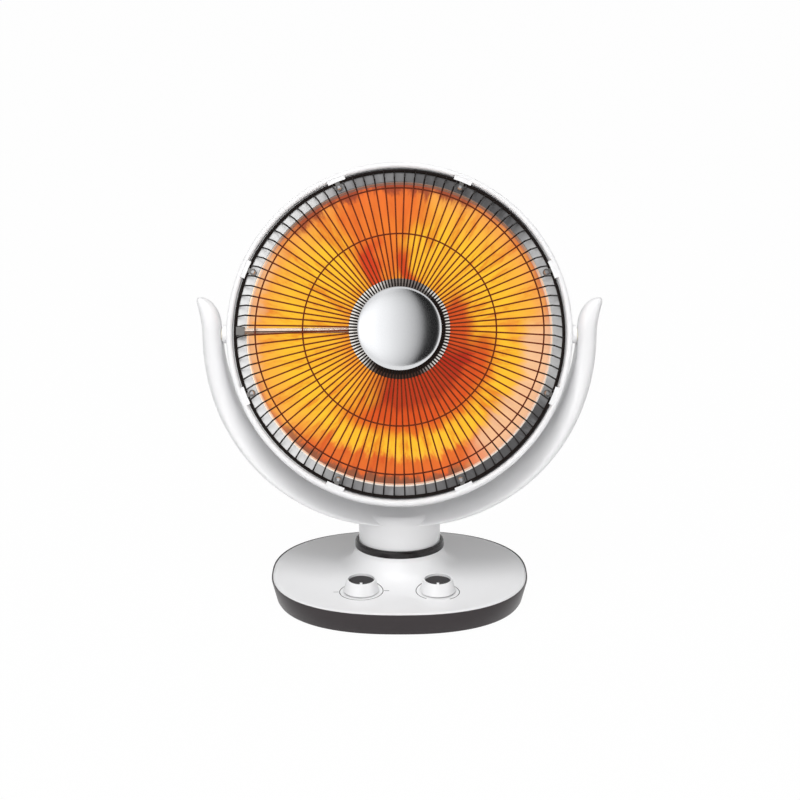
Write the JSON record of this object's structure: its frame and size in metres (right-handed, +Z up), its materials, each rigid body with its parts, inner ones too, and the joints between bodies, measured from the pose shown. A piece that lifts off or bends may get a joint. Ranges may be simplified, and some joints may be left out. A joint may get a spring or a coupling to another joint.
{
  "type": "dish heater",
  "caption": "Ceramic dish heater: wire-grilled reflector head that tilts in a horned yoke, turning on a domed base with two knobs.",
  "frame": {"origin": "on the floor under the neck's turning axis, at the middle of the base", "axes": "+Z up along the neck's axis, the grille faces -Y, +X to the right seen from the front"},
  "size_m": [0.4212, 0.27, 0.459],
  "materials": {
    "white_plastic": "smooth gloss",
    "charcoal_plastic": "fine matte",
    "dark_insert": "fine matte",
    "reflector_metal": "bright rolled sheet",
    "grille_black": "satin black",
    "chrome": "bright plating",
    "satin_silver": "satin",
    "zinc_steel": "zinc plated",
    "bracket_grey": "plain",
    "porcelain": "unglazed",
    "coil_wire": "oxidised, glowing",
    "brass": "plain",
    "black_phenolic": "plain",
    "nylon": "plain",
    "motor_can": "satin",
    "ballast_iron": "plain",
    "rubber": "matte"
  },
  "bodies": {
    "base": {"base_pan": "charcoal_plastic", "base_top_cover": "white_plastic", "collar_ring": "charcoal_plastic", "ballast_plate": "ballast_iron", "base_screws": "zinc_steel", "rubber_feet": "rubber", "selector_switch": "black_phenolic", "timer_unit": "black_phenolic", "tip_switch_body": "black_phenolic", "tip_switch_spring": "zinc_steel", "terminal_block": "nylon", "cord_gland": "black_phenolic", "drive_motor": "motor_can", "motor_screws": "zinc_steel", "thrust_washer": "nylon"},
    "drive_pinion": {"drive_pinion": "nylon"},
    "yoke": {"yoke_front_shell": "white_plastic", "yoke_rear_shell": "white_plastic", "yoke_screws": "zinc_steel", "neck_spindle": "zinc_steel", "spindle_screws": "zinc_steel", "sector_gear": "nylon", "spindle_nut": "zinc_steel", "pivot_bushes": "nylon"},
    "head": {"front_ring": "white_plastic", "head_housing": "white_plastic", "reflector": "reflector_metal", "element_bracket": "bracket_grey", "bracket_screws": "zinc_steel", "ceramic_base": "porcelain", "ceramic_core": "porcelain", "heating_coil": "coil_wire", "front_terminal": "zinc_steel", "rear_terminals": "brass", "thermal_cutout": "black_phenolic", "grille_rim_wire": "grille_black", "grille_ring_wires": "grille_black", "grille_wires": "grille_black", "hub_plate": "chrome", "hub_cap": "satin_silver", "hub_screw": "zinc_steel", "grille_clips": "satin_silver", "clip_screws": "zinc_steel", "lead_tube": "chrome", "tube_bracket": "bracket_grey", "pivot_pins": "zinc_steel"},
    "selector": {"selector_shaft": "zinc_steel", "selector_knob": "white_plastic", "selector_insert": "dark_insert"},
    "timer": {"timer_shaft": "zinc_steel", "timer_knob": "white_plastic", "timer_insert": "dark_insert"},
    "tip_plunger": {"tip_switch_plunger": "nylon"}
  },
  "joints": [
    {"name": "neck_oscillation", "type": "hinge", "parent": "base", "child": "yoke", "pos_m": [0, 0, 0.055], "axis": [0, 0, 1], "range_deg": [-35, 35]},
    {"name": "pinion_spin", "type": "hinge", "parent": "base", "child": "drive_pinion", "pos_m": [0, 0.054, 0.0255], "axis": [0, 0, 1], "range_deg": [-175, 175]},
    {"name": "head_tilt", "type": "hinge", "parent": "yoke", "child": "head", "pos_m": [0, 0, 0.286], "axis": [1, 0, 0], "range_deg": [-10, 25]},
    {"name": "selector_turn", "type": "hinge", "parent": "base", "child": "selector", "pos_m": [-0.0397, -0.0755, 0.02974], "axis": [0, -0.0785, 0.9969], "range_deg": [-135, 0]},
    {"name": "timer_turn", "type": "hinge", "parent": "base", "child": "timer", "pos_m": [0.0397, -0.0755, 0.02974], "axis": [0, -0.0785, 0.9969], "range_deg": [-300, 0]},
    {"name": "tip_switch_travel", "type": "slide", "parent": "base", "child": "tip_plunger", "axis": [0, 0, -1], "range_m": [0, 0.005], "stiffness_N_per_m": 80, "springref_m": 0.009, "deforming": ["tip_switch_spring"]}
  ],
  "couplings": [
    {"joint": "pinion_spin", "follows": "neck_oscillation", "ratio": -5}
  ]
}
